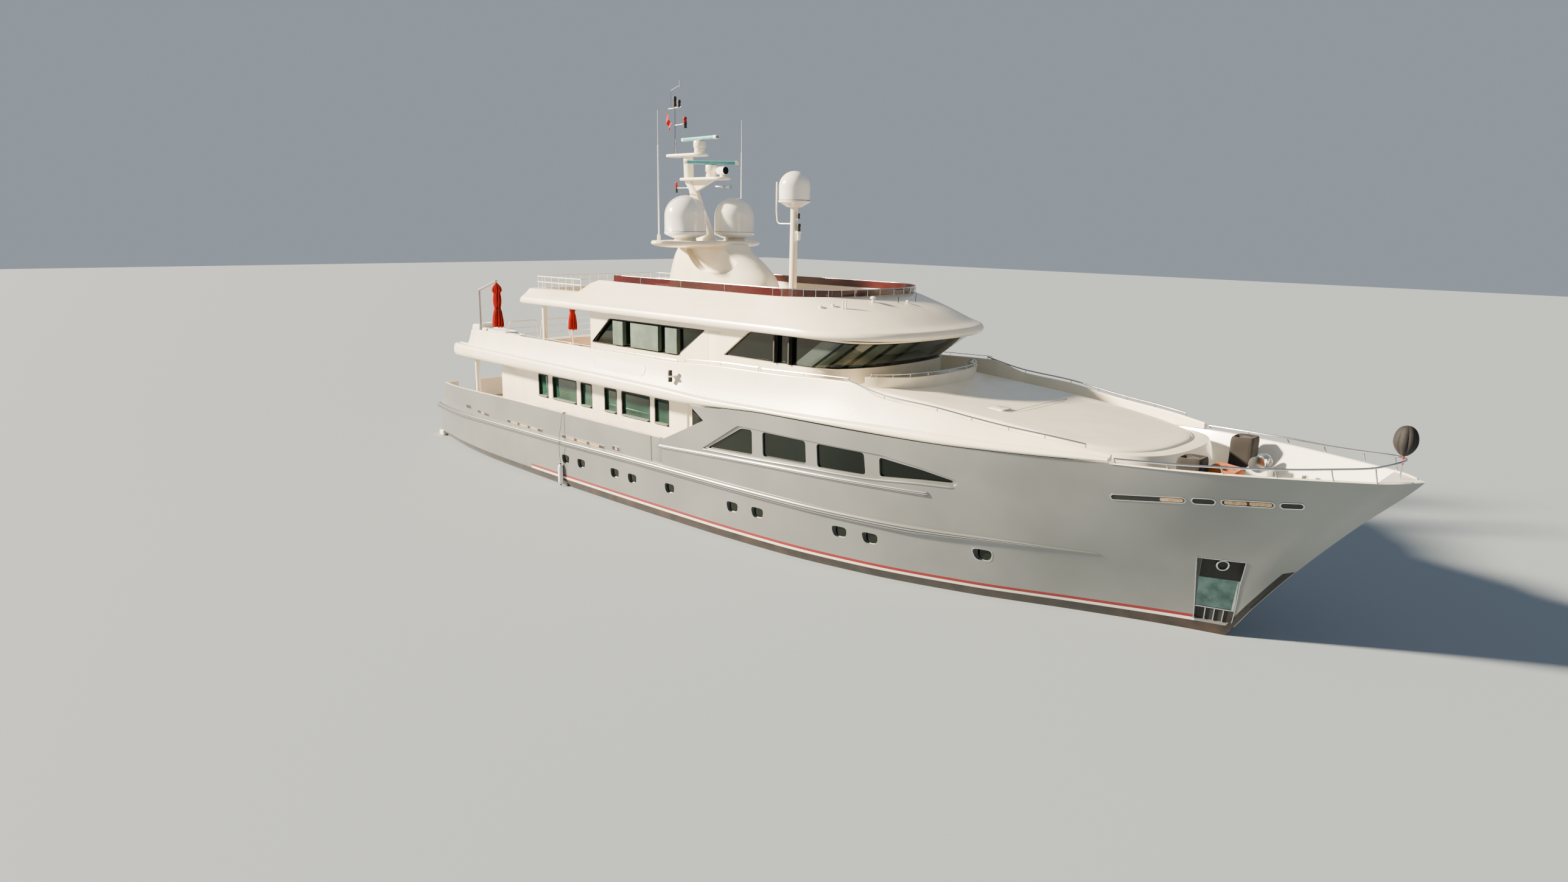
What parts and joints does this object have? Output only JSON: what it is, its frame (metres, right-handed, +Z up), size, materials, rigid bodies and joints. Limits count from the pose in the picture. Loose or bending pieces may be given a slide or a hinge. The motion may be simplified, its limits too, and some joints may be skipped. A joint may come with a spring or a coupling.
{
  "type": "motor yacht",
  "caption": "Raked-bow motor yacht afloat, with a decked hull, hollow main and upper houses, sun deck, mast with turning scanners, propellers, rudders, doors and gates.",
  "frame": {"origin": "on the waterline and the centreline, 16 m aft of the point where the stem meets the water", "axes": "+X forward along the centreline, +Y to port, +Z up"},
  "size_m": [39.56, 8.8, 17.62],
  "materials": {
    "hull_paint": "gloss metallic",
    "white_paint": "gloss",
    "tinted_glass": "polished",
    "stainless": "polished",
    "bronze": "satin",
    "antifouling": "matt",
    "claret_screen": "polished",
    "scanner_teal": "satin",
    "red_canvas": "woven",
    "black_shape": "matt"
  },
  "bodies": {
    "vessel": {"hull": "hull_paint", "swim_platform": "white_paint", "hull_glass_starboard": "tinted_glass", "hull_glass_port": "tinted_glass", "saloon_house": "white_paint", "saloon_glass_starboard": "tinted_glass", "saloon_glass_port": "tinted_glass", "main_pillar_starboard": "white_paint", "main_pillar_port": "white_paint", "upper_deck": "white_paint", "upper_bulwark_starboard": "white_paint", "upper_bulwark_port": "white_paint", "upper_house": "white_paint", "upper_glass_starboard": "tinted_glass", "upper_glass_port": "tinted_glass", "wheelhouse_glass": "tinted_glass", "upper_pillar_starboard": "white_paint", "upper_pillar_port": "white_paint", "upper_rail_starboard": "stainless", "upper_rail_port": "stainless", "trunk": "white_paint", "bridge_wall": "white_paint", "sun_deck": "white_paint", "sun_screen": "claret_screen", "sun_rail": "stainless", "stern_rail": "stainless", "mast": "white_paint", "radome_starboard": "white_paint", "radome_port": "white_paint", "dome_pole": "white_paint", "bow_rail": "stainless", "table_parasol": "red_canvas", "anchor_ball": "black_shape"},
    "propeller_starboard": {"propeller_starboard": "bronze"},
    "propeller_port": {"propeller_port": "bronze"},
    "rudder_starboard": {"rudder_starboard": "antifouling"},
    "rudder_port": {"rudder_port": "antifouling"},
    "boarding_gate_starboard": {"boarding_gate_starboard": "hull_paint"},
    "boarding_gate_port": {"boarding_gate_port": "hull_paint"},
    "saloon_door_starboard": {"saloon_door_starboard": "tinted_glass"},
    "saloon_door_port": {"saloon_door_port": "tinted_glass"},
    "side_door_starboard": {"side_door_starboard": "white_paint"},
    "side_door_port": {"side_door_port": "white_paint"},
    "upper_door_starboard": {"upper_door_starboard": "tinted_glass"},
    "upper_door_port": {"upper_door_port": "tinted_glass"},
    "bridge_door_starboard": {"bridge_door_starboard": "white_paint"},
    "bridge_door_port": {"bridge_door_port": "white_paint"},
    "radar_upper": {"radar_upper": "scanner_teal"},
    "radar_lower": {"radar_lower": "scanner_teal"},
    "parasol": {"parasol_post": "stainless", "parasol_canopy": "red_canvas"}
  },
  "joints": [
    {"name": "propeller_starboard_spin", "type": "hinge", "parent": "vessel", "child": "propeller_starboard", "pos_m": [-15.3, -2, -1.56], "axis": [1, 0, 0], "continuous": true},
    {"name": "propeller_port_spin", "type": "hinge", "parent": "vessel", "child": "propeller_port", "pos_m": [-15.3, 2, -1.56], "axis": [1, 0, 0], "continuous": true},
    {"name": "rudder_starboard_turn", "type": "hinge", "parent": "vessel", "child": "rudder_starboard", "pos_m": [-17, -2, -1.5], "axis": [0, 0, 1], "range_deg": [-35, 35]},
    {"name": "rudder_port_turn", "type": "hinge", "parent": "vessel", "child": "rudder_port", "pos_m": [-17, 2, -1.5], "axis": [0, 0, 1], "range_deg": [-35, 35]},
    {"name": "boarding_gate_starboard_swing", "type": "hinge", "parent": "vessel", "child": "boarding_gate_starboard", "pos_m": [-2.18, -4.11, 2.4], "axis": [0, 0, 1], "range_deg": [0, 90]},
    {"name": "boarding_gate_port_swing", "type": "hinge", "parent": "vessel", "child": "boarding_gate_port", "pos_m": [-2.18, 4.11, 2.4], "axis": [0, 0, -1], "range_deg": [0, 90]},
    {"name": "saloon_door_starboard_slide", "type": "slide", "parent": "vessel", "child": "saloon_door_starboard", "axis": [0, -1, 0], "range_m": [0, 1]},
    {"name": "saloon_door_port_slide", "type": "slide", "parent": "vessel", "child": "saloon_door_port", "axis": [0, 1, 0], "range_m": [0, 1]},
    {"name": "side_door_starboard_swing", "type": "hinge", "parent": "vessel", "child": "side_door_starboard", "pos_m": [-0.538, -3.187, 3], "axis": [0, 0, 1], "range_deg": [0, 90]},
    {"name": "side_door_port_swing", "type": "hinge", "parent": "vessel", "child": "side_door_port", "pos_m": [-0.538, 3.187, 3], "axis": [0, 0, -1], "range_deg": [0, 90]},
    {"name": "upper_door_starboard_slide", "type": "slide", "parent": "vessel", "child": "upper_door_starboard", "axis": [0, -1, 0], "range_m": [0, 1]},
    {"name": "upper_door_port_slide", "type": "slide", "parent": "vessel", "child": "upper_door_port", "axis": [0, 1, 0], "range_m": [0, 1]},
    {"name": "bridge_door_starboard_swing", "type": "hinge", "parent": "vessel", "child": "bridge_door_starboard", "pos_m": [0.272, -3.187, 5.7], "axis": [0, 0, 1], "range_deg": [0, 90]},
    {"name": "bridge_door_port_swing", "type": "hinge", "parent": "vessel", "child": "bridge_door_port", "pos_m": [0.272, 3.187, 5.7], "axis": [0, 0, -1], "range_deg": [0, 90]},
    {"name": "radar_upper_spin", "type": "hinge", "parent": "vessel", "child": "radar_upper", "pos_m": [-4.4, 0, 13.17], "axis": [0, 0, 1], "continuous": true},
    {"name": "radar_lower_spin", "type": "hinge", "parent": "vessel", "child": "radar_lower", "pos_m": [-3.75, 0, 12.29], "axis": [0, 0, 1], "continuous": true},
    {"name": "parasol_swing", "type": "hinge", "parent": "vessel", "child": "parasol", "pos_m": [-14.33, -3.74, 5], "axis": [0, 0, 1], "range_deg": [-90, 90]}
  ]
}
